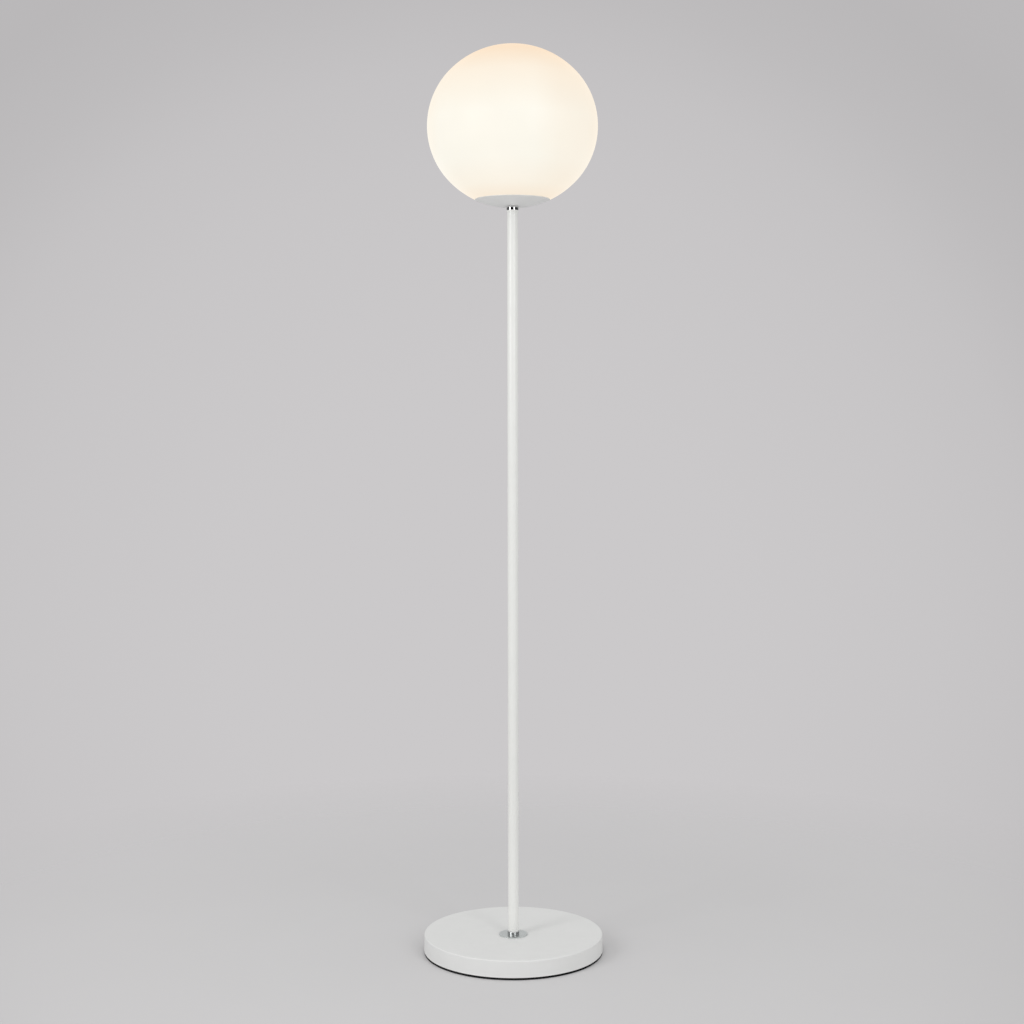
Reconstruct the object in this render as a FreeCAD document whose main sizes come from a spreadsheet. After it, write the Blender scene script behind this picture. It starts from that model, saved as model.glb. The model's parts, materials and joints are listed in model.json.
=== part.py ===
import FreeCAD, Part
import math
import os
from types import SimpleNamespace

import Sketcher

# Globe floor lamp. Millimetres. The origin is on the floor under the middle of the base, +Z is up,
# the front is towards -Y and the mains inlet is at the back.

vector = FreeCAD.Vector
doc = FreeCAD.newDocument("GlobeFloorLamp")

# ---------------------------------------------------------------- driving dimensions

SIZES = {
    # Base
    "pad_inset": 0.5,  # radial, foam pad in from the edge of the cover
    "pad_thickness": 3.5,  # foam pad, pressed by the weight
    "cover_diameter": 300,  # white pressed cover
    "cover_height": 28,  # skirt of the cover, from the pad to the rim of its top
    "cover_wall": 1.5,  # sheet of the cover
    "cover_edge_radius": 2,  # outer rounding between top and skirt
    "cover_fall": 3.5,  # how far the top falls from its rim to the middle
    "cover_flat_diameter": 54,  # flat middle of the top, under the washer
    "hem_height": 1.8,  # rounded hem along the lower edge of the skirt
    "hem_reach": 0.35,  # how far the hem stands out of the skirt
    "plate_thickness": 1.5,  # closing plate under the weight
    "plate_gap": 0.5,  # between closing plate and skirt, all round
    "plate_screw_circle": 220,  # circle of the closing plate's screws
    "plate_screw_diameter": 3,  # shank of the countersunk screws
    "plate_screw_head": 6,  # head of the countersunk screws
    "plate_screw_length": 8,  # overall, head included
    "insert_diameter": 5,  # brass insert cast into the weight
    "insert_length": 8,  # brass insert
    "weight_gap": 0.3,  # between weight and cover
    "chamber_diameter": 100,  # wiring chamber in the weight
    "chamber_height": 15.5,  # wiring chamber above the closing plate
    "channel_width": 14,  # channel from the inlet to the chamber
    "channel_height": 13,  # channel above the closing plate
    "inlet_height": 12,  # axis of the mains inlet above the floor
    # Inlet bush
    "bush_bore": 6.8,  # hole for a round mains lead
    "bush_shank": 9.8,  # shank through the skirt
    "bush_flange": 13,  # flange outside the skirt
    "bush_flange_thickness": 1.2,  # flange outside the skirt
    "bush_length": 12,  # from the outer face to the inner end
    "bush_barb": 10.8,  # snap ring inside the skirt
    "bush_barb_length": 2,  # snap ring inside the skirt
    "bush_clearance": 0.1,  # radial, shank in the skirt's hole
    # Terminal block
    "block_width": 26,  # across the three ways
    "block_depth": 15,  # along the wires
    "block_height": 11,  # down from the chamber's ceiling
    "block_place": 22,  # from the axis to the block's near face
    "way_spacing": 8,  # between neighbouring ways
    "way_depth": 6,  # wire axis below the chamber's ceiling
    "clamp_diameter": 5,  # brass clamp tube
    "clamp_bore": 3,  # wire hole in the clamp
    "clamp_length": 13,  # brass clamp tube
    "clamp_clearance": 0.1,  # radial, clamp in the block
    "clamp_screw_diameter": 2.5,  # screw that pinches the wire
    "clamp_screw_spacing": 7,  # between the two screws of a way
    # Fixings
    "nipple_diameter": 10,  # hollow threaded rod
    "nipple_bore": 8,  # hollow threaded rod
    "nipple_grip": 16,  # length of the rod in a pole plug
    "nipple_end": 0.6,  # rod standing out of its nut
    "thread_clearance": 0.05,  # radial, rod in a tapped hole
    "hole_clearance": 0.25,  # radial, rod in a plain hole
    "nut_flats": 14,  # across the flats
    "nut_height": 3.5,  # low nut
    "lock_washer_diameter": 15,  # split washer
    "lock_washer_thickness": 1,  # split washer
    "lock_washer_slit": 1.2,  # split washer
    "clamp_washer_diameter": 32,  # plain washer under the weight
    "clamp_washer_thickness": 1.5,  # plain washer under the weight
    # Pole
    "foot_washer_diameter": 48,  # chrome disc on the base
    "foot_washer_thickness": 1.5,  # chrome disc on the base
    "foot_washer_chamfer": 0.3,  # upper edge of the disc
    "pole_diameter": 18,  # white tube
    "pole_wall": 1.2,  # white tube
    "pole_length": 1215,  # white tube
    "plug_length": 20,  # tapped plug in either end of the pole
    "plug_clearance": 0.03,  # radial, plug in the pole
    "collar_diameter": 20.4,  # chrome collars at foot and neck
    "foot_collar_height": 5.8,  # chrome collar at the foot
    "neck_collar_height": 6.4,  # chrome collar under the dish
    "foot_collar_bevel": 0.9,  # upper edge of the collar at the foot
    "collar_chamfer": 0.3,  # the collars' other edges
    "collar_clearance": 0.05,  # radial, collar on the pole
    "bead_diameter": 19.7,  # white bead on the pole that carries the neck collar
    "bead_height": 3.3,  # bead under the neck collar
    "bead_slope": 0.7,  # height of the sloping lower side of the bead
    "lead_diameter": 6,  # sheathed lead in the pole
    "core_diameter": 2,  # insulated core of the lead
    "core_spread": 1.25,  # from the lead's axis to a core's axis
    # Dish
    "dish_diameter": 121.2,  # rim of the dish
    "dish_depth": 13,  # height of the ball cap that the dish is cut from
    "dish_flat_diameter": 50,  # flat middle of the dish
    "dish_wall": 1.2,  # sheet of the dish
    "gasket_diameter": 123.2,  # silicone ring between dish and glass
    "gasket_width": 5,  # silicone ring
    "gasket_thickness": 1,  # silicone ring
    "carrier_diameter": 46,  # disc under the springs
    "carrier_thickness": 1.5,  # disc under the springs
    # Globe springs
    "spring_width": 8,  # leaf spring
    "spring_thickness": 0.6,  # leaf spring
    "spring_start": 11,  # from the axis to the foot's inner end
    "spring_bend": 23,  # from the axis to the first bend
    "spring_reach": 0.1,  # outer corner of the leaf's outline, beyond the edge of the glass
    "spring_knee_inset": 8,  # from the bulge inwards to the second bend
    "spring_knee_drop": 3.2,  # second bend below the edge of the glass
    "spring_bulge_rise": 2.5,  # bulge above the edge of the glass
    "spring_tip_inset": 6,  # from the bulge inwards to the tip
    "spring_tip_rise": 16,  # tip above the edge of the glass
    "spring_bend_radius": 3,  # at each bend
    "rivet_diameter": 2.5,  # shank of a spring's rivet
    "rivet_head": 4.5,  # head of a spring's rivet
    "rivet_head_height": 1,  # head of a spring's rivet
    "rivet_clearance": 0.05,  # radial, rivet in its holes
    "rivet_place": 17,  # from the axis to a rivet
    # Globe
    "globe_diameter": 280,  # across, outside
    "globe_full_height": 263.5,  # of the whole spheroid, before its opening is cut
    "globe_opening": 124.6,  # outside diameter of the cut edge
    "globe_wall": 3,  # opal glass
    # Lampholder
    "holder_cap_diameter": 37,  # cap that screws on the rod
    "holder_cap_height": 20,  # cap, from its neck to its rim
    "holder_neck_diameter": 16,  # neck of the cap
    "holder_neck_height": 4,  # outside of the neck
    "holder_grip": 8,  # tapped length in the cap
    "holder_shoulder": 12,  # from the neck's end to the cap's full width
    "holder_wall": 1.8,  # walls of cap and shell
    "holder_lap": 6,  # shell over cap
    "holder_clearance": 0.1,  # radial, between the parts of the holder
    "holder_floor": 8,  # thickness of the core's floor
    "holder_height": 60,  # from the neck's end to the mouth
    "holder_bead_height": 3,  # bead round the mouth of the shell
    "holder_bead_reach": 0.8,  # how far the beads stand out of the shell
    "holder_grip_spacing": 5,  # between the grip rings round the shell
    "holder_grip_width": 1.5,  # grip ring
    "socket_diameter": 26.8,  # inside of the screw shell
    "socket_wall": 0.5,  # screw shell
    "socket_floor": 5,  # width of the screw shell's floor ring
    "core_tube_wall": 2,  # tube of the core round the screw shell
    "contact_rise": 4,  # centre contact above the core's floor
    "contact_width": 5,  # strip of the centre contact
    "contact_thickness": 0.5,  # strip of the centre contact
    "contact_foot": 7,  # from the axis to the end of the strip's foot
    "contact_first_bend": 4.5,  # from the axis to where the strip leaves the floor
    "contact_second_bend": 2.2,  # from the axis to where the strip levels out
    "contact_tongue": 3,  # from the axis to the strip's free end
    "contact_bend_radius": 1,  # at both bends
    "terminal_width": 5,  # brass block under the core
    "terminal_height": 6,  # brass block under the core
    "terminal_place": 7.5,  # from the axis to the block's inner face
    "terminal_screw_diameter": 3,  # screw of a terminal
    "terminal_screw_length": 3.5,  # screw of a terminal, outside its block
    # Cores of the lead at the block
    "core_sweep": 9,  # from the axis to where the cores leave the floor of the chamber
    "core_climb": 16,  # from the axis to the middle of their rise
    "core_level_out": 21,  # from the axis to where they run straight into the block
    # Bulb
    "bulb_gap": 0.2,  # between centre contact and bulb
    "bulb_length": 108,  # from the tip to the top of the dome
    "bulb_diameter": 60,  # dome
    "bulb_rim_level": 62,  # from the tip to the dome's lower edge
    "bulb_wall": 1.5,  # dome and housing
    "tip_diameter": 9.6,  # end contact
    "tip_face_diameter": 6,  # flat face of the end contact
    "tip_height": 1.8,  # end contact
    "insulator_height": 5.5,  # insulator above the end contact
    "screw_cap_diameter": 26.2,  # threaded cap
    "screw_cap_wall": 0.4,  # threaded cap
    "screw_cap_top": 27,  # from the tip to the cap's upper edge
    "bulb_neck_diameter": 27.6,  # foot of the housing
    "bulb_neck_height": 3,  # straight foot of the housing
    "board_thickness": 1.6,  # light board
    "board_drop": 2,  # board below the dome's edge
    "board_ledge": 2.5,  # width of the ledge under the board
    "chip_size": 3,  # light chip
    "chip_height": 0.8,  # light chip
    "chip_circle": 32,  # circle of the light chips
}
CHIP_COUNT = 12
SPRING_COUNT = 3
PLATE_SCREW_COUNT = 3
WAY_COUNT = 3
GRIP_COUNT = 4
FRONT = -90  # degrees from +X
RIGHT_CORE = -30  # degrees from +X, core that goes to the right-hand way
DIAGONAL = math.sqrt(0.5)
HEXAGON = 2 / math.sqrt(3)  # corners of a six-sided prism against its flats
ARC_SHARE = 0.45  # share of the shorter run that a core's bend takes


class Size:
    """A length as a number, with the sheet expression that drives it."""

    def __init__(self, value, text):
        self.value = value
        self.text = text

    def __add__(self, other):
        return Size(self.value + number(other), f"({self.text} + {words(other)})")

    def __sub__(self, other):
        return Size(self.value - number(other), f"({self.text} - {words(other)})")

    def __mul__(self, other):
        return Size(self.value * number(other), f"({self.text} * {words(other)})")

    def __truediv__(self, other):
        return Size(self.value / number(other), f"({self.text} / {words(other)})")

    def __neg__(self):
        return Size(-self.value, f"(0 - {self.text})")


def number(item):
    return item.value if isinstance(item, Size) else item


def words(item):
    return item.text if isinstance(item, Size) else str(item)


def root(item):
    return Size(math.sqrt(number(item)), f"sqrt({words(item)})")


def other_side(longest, side):
    """The third side of a right-angled triangle."""
    return root(longest * longest - side * side)


def write_sheet():
    """Fill the sheet and return its sizes by name."""
    sheet = doc.addObject("Spreadsheet::Sheet", "Sizes")
    for row, (name, value) in enumerate(SIZES.items(), 1):
        sheet.set(f"A{row}", name)
        sheet.set(f"B{row}", str(value))
        sheet.setAlias(f"B{row}", name)
    doc.recompute()
    return SimpleNamespace(**{name: Size(sheet.get(name), f"Sizes.{name}") for name in SIZES})


size = write_sheet()
nodes = []


def keep(item):
    """Count an object as one of the lamp's pieces."""
    nodes.append(item)
    return item


# ---------------------------------------------------------------- sketches

# A sketch counts its level and its upright axis below zero, and the points of an edge from one.
LEVEL_AXIS, UPRIGHT_AXIS = range(-1, -3, -1)
START, END, CENTRE = range(1, 4)
ORIGIN = (LEVEL_AXIS, START)


class Arc:
    """A round stretch of an outline, between the points before and after it."""

    def __init__(self, centre_x, centre_z, radius):
        self.centre = (centre_x, centre_z)
        self.radius = radius


def flat(point):
    return vector(number(point[0]), number(point[1]), 0)


def hold(sketch, constraint, length):
    """Add one distance to a sketch and bind it to the sheet."""
    index = sketch.addConstraint(constraint)
    if isinstance(length, Size):
        sketch.setExpression(f"Constraints[{index}]", length.text)


def place_point(sketch, edge, end, point):
    """Hold the end of an edge at a point, both measured from the sketch's origin."""
    directions = (("DistanceX", UPRIGHT_AXIS, point[0]), ("DistanceY", LEVEL_AXIS, point[1]))
    for kind, axis, length in directions:
        if number(length) == 0 and not isinstance(length, Size):
            sketch.addConstraint(Sketcher.Constraint("PointOnObject", edge, end, axis))
        else:
            hold(sketch, Sketcher.Constraint(kind, *ORIGIN, edge, end, number(length)), length)


def draw(sketch, outline):
    """Draw a closed outline of points and arcs, each point held by the sheet."""
    points = []
    arcs = {}
    for item in outline:
        if isinstance(item, Arc):
            arcs[len(points) - 1] = item
        else:
            points.append(item)
    edges = []
    ends = []
    for index, point in enumerate(points):
        start = flat(point)
        finish = flat(points[(index + 1) % len(points)])
        arc = arcs.get(index)
        if arc is None:
            edges.append(Part.LineSegment(start, finish))
            ends.append((START, END))
            continue
        centre = flat(arc.centre)
        first = math.atan2(start.y - centre.y, start.x - centre.x)
        last = math.atan2(finish.y - centre.y, finish.x - centre.x)
        circle = Part.Circle(centre, vector(0, 0, 1), number(arc.radius))
        if (last - first) % (2 * math.pi) < math.pi:
            edges.append(Part.ArcOfCircle(circle, first, last))
            ends.append((START, END))
        else:
            edges.append(Part.ArcOfCircle(circle, last, first))
            ends.append((END, START))
    sketch.addGeometry(edges, False)
    for index, point in enumerate(points):
        before = index - 1 if index else len(points) - 1
        joint = Sketcher.Constraint("Coincident", before, ends[before][1], index, ends[index][0])
        sketch.addConstraint(joint)
        place_point(sketch, index, ends[index][0], point)
        if index in arcs:
            radius = arcs[index].radius
            hold(sketch, Sketcher.Constraint("Radius", index, number(radius)), radius)


def new_sketch(body, name, plane):
    """A sketch on one of the body's own planes."""
    sketch = body.newObject("Sketcher::SketchObject", name)
    support = next(item for item in body.Origin.OriginFeatures if item.Role == plane)
    sketch.AttachmentSupport = [(support, "")]
    sketch.MapMode = "FlatFace"
    return sketch


def new_body(name):
    body = doc.addObject("PartDesign::Body", name)
    body.Label = name
    return body


def bind(item, **lengths):
    """Bind properties of an object to the sheet; two underlines stand for a dot."""
    for name, length in lengths.items():
        path = name.replace("__", ".")
        if isinstance(length, Size) or "." in path:
            item.setExpression(path, words(length))
        else:
            setattr(item, name, length)
    return item


def move(item, x=0, y=0, z=0):
    """Place an object by the sheet."""
    return bind(item, Placement__Base__x=x, Placement__Base__y=y, Placement__Base__z=z)


# ---------------------------------------------------------------- ways of making a piece

def turned(name, outline):
    """A body turned about the Z axis, from an outline of radius and height."""
    body = new_body(name)
    sketch = new_sketch(body, name + "_profile", "XZ_Plane")
    draw(sketch, outline)
    turn = body.newObject("PartDesign::Revolution", name + "_turn")
    turn.Profile = sketch
    turn.ReferenceAxis = (sketch, ["V_Axis"])
    turn.Angle = 360
    return body


def ring(name, outer, inner, bottom, height):
    """A turned ring or tube, from its radii."""
    top = bottom + height
    return turned(name, [(inner, bottom), (outer, bottom), (outer, top), (inner, top)])


def post(name, radius, height, x, y, bottom):
    """An upright round bar."""
    return move(bind(doc.addObject("Part::Cylinder", name), Radius=radius, Height=height), x, y, bottom)


def lying_post(name, radius, length, x, y, z):
    """A round bar that runs towards the back from its start."""
    bar = bind(doc.addObject("Part::Cylinder", name), Radius=radius, Height=length)
    bar.Placement = FreeCAD.Placement(vector(), FreeCAD.Rotation(vector(1, 0, 0), -90))
    return move(bar, x, y, z)


def block(name, width, depth, height, x, y, z):
    """A box, placed by its lowest corner."""
    return move(bind(doc.addObject("Part::Box", name), Length=width, Width=depth, Height=height), x, y, z)


def group(name, members):
    """Several separate solids in one node."""
    item = doc.addObject("Part::Compound", name)
    item.Links = members
    return item


def cut(name, base, tools):
    item = doc.addObject("Part::Cut", name)
    item.Base = base
    item.Tool = tools[0] if len(tools) == 1 else group(name + "_cuts", tools)
    return item


def around(count, first_angle):
    """Cosine and sine of evenly spaced places on a circle."""
    angles = [math.radians(first_angle + 360 * index / count) for index in range(count)]
    return [(round(math.cos(angle), 12), round(math.sin(angle), 12)) for angle in angles]


def bent_strip(name, points, radius, width, thickness):
    """A strip bent in the XZ plane along straight runs with one radius at each bend."""
    body = new_body(name)
    path = new_sketch(body, name + "_path", "XZ_Plane")
    places = [flat(point) for point in points]
    bends = []
    for before, corner, after in zip(places, places[1:], places[2:]):
        back = (before - corner).normalize()
        ahead = (after - corner).normalize()
        half_angle = back.getAngle(ahead) / 2
        reach = number(radius) / math.tan(half_angle)
        middle = corner + (back + ahead).normalize() * (number(radius) / math.sin(half_angle))
        bends.append((corner + back * reach, corner + ahead * reach, middle))
    starts = [places[0]] + [bend[1] for bend in bends]
    finishes = [bend[0] for bend in bends] + [places[-1]]
    runs = [Part.LineSegment(start, finish) for start, finish in zip(starts, finishes)]
    path.addGeometry(runs, False)
    for index, (first, last, middle) in enumerate(bends):
        low = math.atan2(first.y - middle.y, first.x - middle.x)
        high = math.atan2(last.y - middle.y, last.x - middle.x)
        left_turn = (high - low) % (2 * math.pi) < math.pi
        circle = Part.Circle(middle, vector(0, 0, 1), number(radius))
        arc = Part.ArcOfCircle(circle, low, high) if left_turn else Part.ArcOfCircle(circle, high, low)
        edge = path.addGeometry(arc, False)
        enter, leave = (START, END) if left_turn else (END, START)
        path.addConstraint(Sketcher.Constraint("Tangent", index, END, edge, enter))
        path.addConstraint(Sketcher.Constraint("Tangent", edge, leave, index + 1, START))
        hold(path, Sketcher.Constraint("Radius", edge, number(radius)), radius)
        corner = path.addGeometry(Part.Point(places[index + 1]), True)
        path.addConstraint(Sketcher.Constraint("PointOnObject", corner, START, index))
        path.addConstraint(Sketcher.Constraint("PointOnObject", corner, START, index + 1))
        place_point(path, corner, START, points[index + 1])
    place_point(path, 0, START, points[0])
    place_point(path, len(runs) - 1, END, points[-1])
    section = new_sketch(body, name + "_section", "YZ_Plane")
    bind(section, AttachmentOffset__Base__z=points[0][0])
    low = points[0][1] - thickness / 2
    high = points[0][1] + thickness / 2
    corners = [(-1, low), (1, low), (1, high), (-1, high)]
    lines = [Part.LineSegment(vector(side * number(width) / 2, number(level), 0),
                              vector(next_side * number(width) / 2, number(next_level), 0))
             for (side, level), (next_side, next_level) in zip(corners, corners[1:] + corners[:1])]
    section.addGeometry(lines, False)
    lower, right, upper, left = range(len(lines))
    for edge in range(len(lines)):
        after = (edge + 1) % len(lines)
        section.addConstraint(Sketcher.Constraint("Coincident", edge, END, after, START))
    section.addConstraint(Sketcher.Constraint("Symmetric", lower, START, lower, END, UPRIGHT_AXIS))
    section.addConstraint(Sketcher.Constraint("Horizontal", upper))
    section.addConstraint(Sketcher.Constraint("Vertical", right))
    section.addConstraint(Sketcher.Constraint("Vertical", left))
    across = Sketcher.Constraint("DistanceX", lower, START, lower, END, number(width))
    hold(section, across, width)
    hold(section, Sketcher.Constraint("DistanceY", *ORIGIN, lower, START, number(low)), low)
    hold(section, Sketcher.Constraint("DistanceY", *ORIGIN, upper, START, number(high)), high)
    sweep = body.newObject("PartDesign::AdditivePipe", name + "_sweep")
    sweep.Profile = section
    sweep.Spine = (path, [f"Edge{index + 1}" for index in range(len(runs) + len(bends))])
    return body


def insulated_core(points, diameter, tightest):
    """A thin wire of straight runs with tangent arcs, as large as its runs allow."""
    edges = []
    start = points[0]
    for before, corner, after in zip(points, points[1:], points[2:]):
        back = (before - corner).normalize()
        ahead = (after - corner).normalize()
        half_turn = (math.pi - back.getAngle(ahead)) / 2
        run = min((before - corner).Length, (after - corner).Length)
        reach = ARC_SHARE * run
        radius = reach / math.tan(half_turn)
        tightest.append(radius)
        bisector = (back + ahead).normalize()
        middle = corner + bisector * (radius / math.cos(half_turn) - radius)
        edges.append(Part.LineSegment(start, corner + back * reach).toShape())
        edges.append(Part.Arc(corner + back * reach, middle, corner + ahead * reach).toShape())
        start = corner + ahead * reach
    edges.append(Part.LineSegment(start, points[-1]).toShape())
    path = Part.Wire(edges)
    circle = Part.Circle(points[0], points[1] - points[0], diameter / 2)
    return path.makePipeShell([Part.Wire([circle.toShape()])], True, False)


def wires(name, routes):
    """The bare cores of a lead, one solid for each route."""
    tightest = []
    diameter = size.core_diameter.value
    solids = [insulated_core(route, diameter, tightest) for route in routes]
    item = doc.addObject("Part::Feature", name)
    item.Shape = Part.makeCompound(solids)
    item.Placement = FreeCAD.Placement()
    print(f"{name}: tightest bend {min(tightest):.1f} mm")
    return item


# ---------------------------------------------------------------- levels and radii that pieces share

plate_top = size.pad_thickness + size.plate_thickness
cover_top = size.pad_thickness + size.cover_height
cover_radius = size.cover_diameter / 2
seat_level = cover_top - size.cover_fall
cover_flat = size.cover_flat_diameter / 2
skirt_inside = cover_radius - size.cover_wall
chamber_top = plate_top + size.chamber_height

rod_radius = size.nipple_diameter / 2
rod_bore = size.nipple_bore / 2
tapped = rod_radius + size.thread_clearance
plain_hole = rod_radius + size.hole_clearance
under_nut = chamber_top - size.clamp_washer_thickness - size.lock_washer_thickness - size.nut_height
rod_bottom = under_nut - size.nipple_end

pole_bottom = seat_level + size.foot_washer_thickness
pole_radius = size.pole_diameter / 2
pole_bore = pole_radius - size.pole_wall
pole_top = pole_bottom + size.pole_length
bead_top = pole_top - size.neck_collar_height

dish_radius = size.dish_diameter / 2
dish_flat = size.dish_flat_diameter / 2
ball_radius = (dish_radius * dish_radius + size.dish_depth * size.dish_depth) / (size.dish_depth * 2)
ball_centre = pole_top + other_side(ball_radius, dish_flat)
dish_rim = ball_centre - other_side(ball_radius, dish_radius)
dish_floor = pole_top + size.dish_wall
carrier_top = dish_floor + size.carrier_thickness

globe_bottom = dish_rim + size.gasket_thickness
globe_radius = size.globe_diameter / 2
globe_half_height = size.globe_full_height / 2
opening_radius = size.globe_opening / 2
crown_shift = (globe_radius - globe_half_height) / (2 * (1 - DIAGONAL))
crown_radius = globe_half_height + crown_shift
flank_radius = globe_radius - crown_shift
crown_level = globe_bottom + other_side(crown_radius, opening_radius)
globe_centre = crown_level - crown_shift
inner_opening = other_side(crown_radius - size.globe_wall, crown_level - globe_bottom)

holder_bottom = carrier_top + size.lock_washer_thickness + size.nut_height
holder_cap_radius = size.holder_cap_diameter / 2
core_bottom = holder_bottom + size.holder_cap_height
core_floor = core_bottom + size.holder_floor
holder_top = holder_bottom + size.holder_height
socket_radius = size.socket_diameter / 2
socket_outside = socket_radius + size.socket_wall
core_tube_inside = socket_outside + size.holder_clearance
core_tube_outside = core_tube_inside + size.core_tube_wall
core_tube_top = holder_top - size.holder_wall

contact_top = core_floor + size.contact_rise
bulb_bottom = contact_top + size.bulb_gap
cap_bottom = bulb_bottom + size.tip_height + size.insulator_height
screw_cap_radius = size.screw_cap_diameter / 2
screw_cap_inside = screw_cap_radius - size.screw_cap_wall
screw_cap_top = bulb_bottom + size.screw_cap_top
bulb_rim = bulb_bottom + size.bulb_rim_level
bulb_top = bulb_bottom + size.bulb_length
dome_radius = size.bulb_diameter / 2
dome_centre = bulb_top - dome_radius
rim_radius = other_side(dome_radius, dome_centre - bulb_rim)
rim_inside = other_side(dome_radius - size.bulb_wall, dome_centre - bulb_rim)


# ---------------------------------------------------------------- base

def base_pad():
    radius = cover_radius - size.pad_inset
    outline = [(0, 0), (radius, 0), (radius, size.pad_thickness), (0, size.pad_thickness)]
    keep(turned("base_pad", outline))


def plate_places():
    """The closing plate's screws stand clear of the channel at the back."""
    circle = size.plate_screw_circle / 2
    return [(circle * cosine, circle * sine) for cosine, sine in around(PLATE_SCREW_COUNT, FRONT)]


def base_plate():
    """Steel disc that closes the underside, with countersunk holes."""
    radius = skirt_inside - size.plate_gap
    bottom = size.pad_thickness
    outline = [(0, bottom), (radius, bottom), (radius, plate_top), (0, plate_top)]
    blank = turned("base_plate_blank", outline)
    holes = []
    for index, (x, y) in enumerate(plate_places()):
        hole = doc.addObject("Part::Cone", f"base_plate_hole_{index + 1}")
        bind(hole, Height=size.plate_thickness,
             Radius1=size.plate_screw_head / 2 + size.hole_clearance,
             Radius2=size.plate_screw_head / 2 + size.hole_clearance - size.plate_thickness)
        holes.append(move(hole, x, y, bottom))
    keep(cut("base_plate", blank, holes))


def plate_screws():
    """Countersunk screws: a cone of 90 degrees on a plain shank."""
    screws = []
    shank = size.plate_screw_diameter / 2
    head = size.plate_screw_head / 2
    bottom = size.pad_thickness
    outline = [(0, bottom), (head, bottom), (shank, bottom + head - shank),
               (shank, bottom + size.plate_screw_length), (0, bottom + size.plate_screw_length)]
    for index, (x, y) in enumerate(plate_places()):
        screws.append(move(turned(f"plate_screw_{index + 1}", outline), x, y))
    keep(group("plate_screws", screws))


def weight_inserts():
    """Brass inserts that take the closing plate's screws."""
    inserts = []
    for index, (x, y) in enumerate(plate_places()):
        insert = ring(f"weight_insert_{index + 1}", size.insert_diameter / 2,
                      size.plate_screw_diameter / 2 + size.thread_clearance,
                      plate_top, size.insert_length)
        inserts.append(move(insert, x, y))
    keep(group("weight_inserts", inserts))


def base_weight():
    """Cast disc under the cover, with a wiring chamber and a channel to the inlet."""
    radius = skirt_inside - size.weight_gap
    shoulder = radius - size.cover_edge_radius
    middle = seat_level - size.cover_wall
    edge = cover_top - size.cover_wall - size.weight_gap
    chamber = size.chamber_diameter / 2
    blank = turned("base_weight_blank", [
        (plain_hole, middle), (cover_flat, middle), (shoulder, edge),
        (radius, edge - size.cover_edge_radius), (radius, plate_top),
        (chamber, plate_top), (chamber, chamber_top), (plain_hole, chamber_top)])
    channel = block("base_weight_channel", size.channel_width, cover_radius, size.channel_height,
                    -size.channel_width / 2, 0, plate_top)
    sockets = [post(f"base_weight_socket_{index + 1}", size.insert_diameter / 2, size.insert_length,
                    x, y, plate_top) for index, (x, y) in enumerate(plate_places())]
    keep(cut("base_weight", blank, [channel] + sockets))


def base_cover():
    """Pressed cover: hemmed skirt, rounded edge, and a top that falls gently to its flat middle."""
    radius = cover_radius
    edge = size.cover_edge_radius
    wall = size.cover_wall
    half_hem = size.hem_height / 2
    hem_radius = (half_hem * half_hem + size.hem_reach * size.hem_reach) / (size.hem_reach * 2)
    blank = turned("base_cover_blank", [
        (plain_hole, seat_level), (cover_flat, seat_level), (radius - edge, cover_top),
        Arc(radius - edge, cover_top - edge, edge),
        (radius, cover_top - edge), (radius, size.pad_thickness + size.hem_height),
        Arc(radius + size.hem_reach - hem_radius, size.pad_thickness + half_hem, hem_radius),
        (radius, size.pad_thickness),
        (radius - wall, size.pad_thickness), (radius - wall, cover_top - edge),
        Arc(radius - edge, cover_top - edge, edge - wall),
        (radius - edge, cover_top - wall), (cover_flat, seat_level - wall),
        (plain_hole, seat_level - wall)])
    inlet = lying_post("base_cover_inlet", size.bush_shank / 2 + size.bush_clearance, cover_radius,
                       0, size.chamber_diameter / 2, size.inlet_height)
    keep(cut("base_cover", blank, [inlet]))


def inlet_bush():
    """Snap-in bush at the back of the skirt, turned about the inlet's axis."""
    bore = size.bush_bore / 2
    shank = size.bush_shank / 2
    flange = size.bush_flange / 2
    barb = size.bush_barb / 2
    inner_end = size.bush_length - size.bush_flange_thickness
    barb_start = inner_end - size.cover_wall - size.bush_clearance - size.bush_barb_length
    barb_end = barb_start + size.bush_barb_length
    bush = turned("inlet_bush", [
        (bore, 0), (shank, 0), (shank, barb_start), (barb, barb_end), (shank, barb_end),
        (shank, inner_end), (flange, inner_end), (flange, size.bush_length), (bore, size.bush_length)])
    bush.Placement = FreeCAD.Placement(vector(), FreeCAD.Rotation(vector(1, 0, 0), -90))
    keep(move(bush, 0, cover_radius - inner_end, size.inlet_height))


# ---------------------------------------------------------------- terminal block in the chamber

way_level = chamber_top - size.way_depth
way_offsets = [size.way_spacing * (index - (WAY_COUNT - 1) / 2) for index in range(WAY_COUNT)]
block_middle = size.block_place + size.block_depth / 2


def clamp_screw_places():
    """Two screws for each way of the block."""
    sides = (-size.clamp_screw_spacing / 2, size.clamp_screw_spacing / 2)
    return [(x, block_middle + side) for x in way_offsets for side in sides]


def terminal_block():
    """Moulded block, hung from the chamber's ceiling, with a bore and two screw wells a way."""
    blank = block("terminal_block_blank", size.block_width, size.block_depth, size.block_height,
                  -size.block_width / 2, size.block_place, chamber_top - size.block_height)
    cuts = []
    for index, x in enumerate(way_offsets):
        cuts.append(lying_post(f"terminal_block_bore_{index + 1}",
                               size.clamp_diameter / 2 + size.clamp_clearance, size.block_depth,
                               x, size.block_place, way_level))
    for index, (x, y) in enumerate(clamp_screw_places()):
        cuts.append(post(f"terminal_block_well_{index + 1}",
                         size.clamp_screw_diameter / 2 + size.hole_clearance,
                         size.block_height - size.way_depth, x, y, chamber_top - size.block_height))
    keep(cut("terminal_block", blank, cuts))


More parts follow.
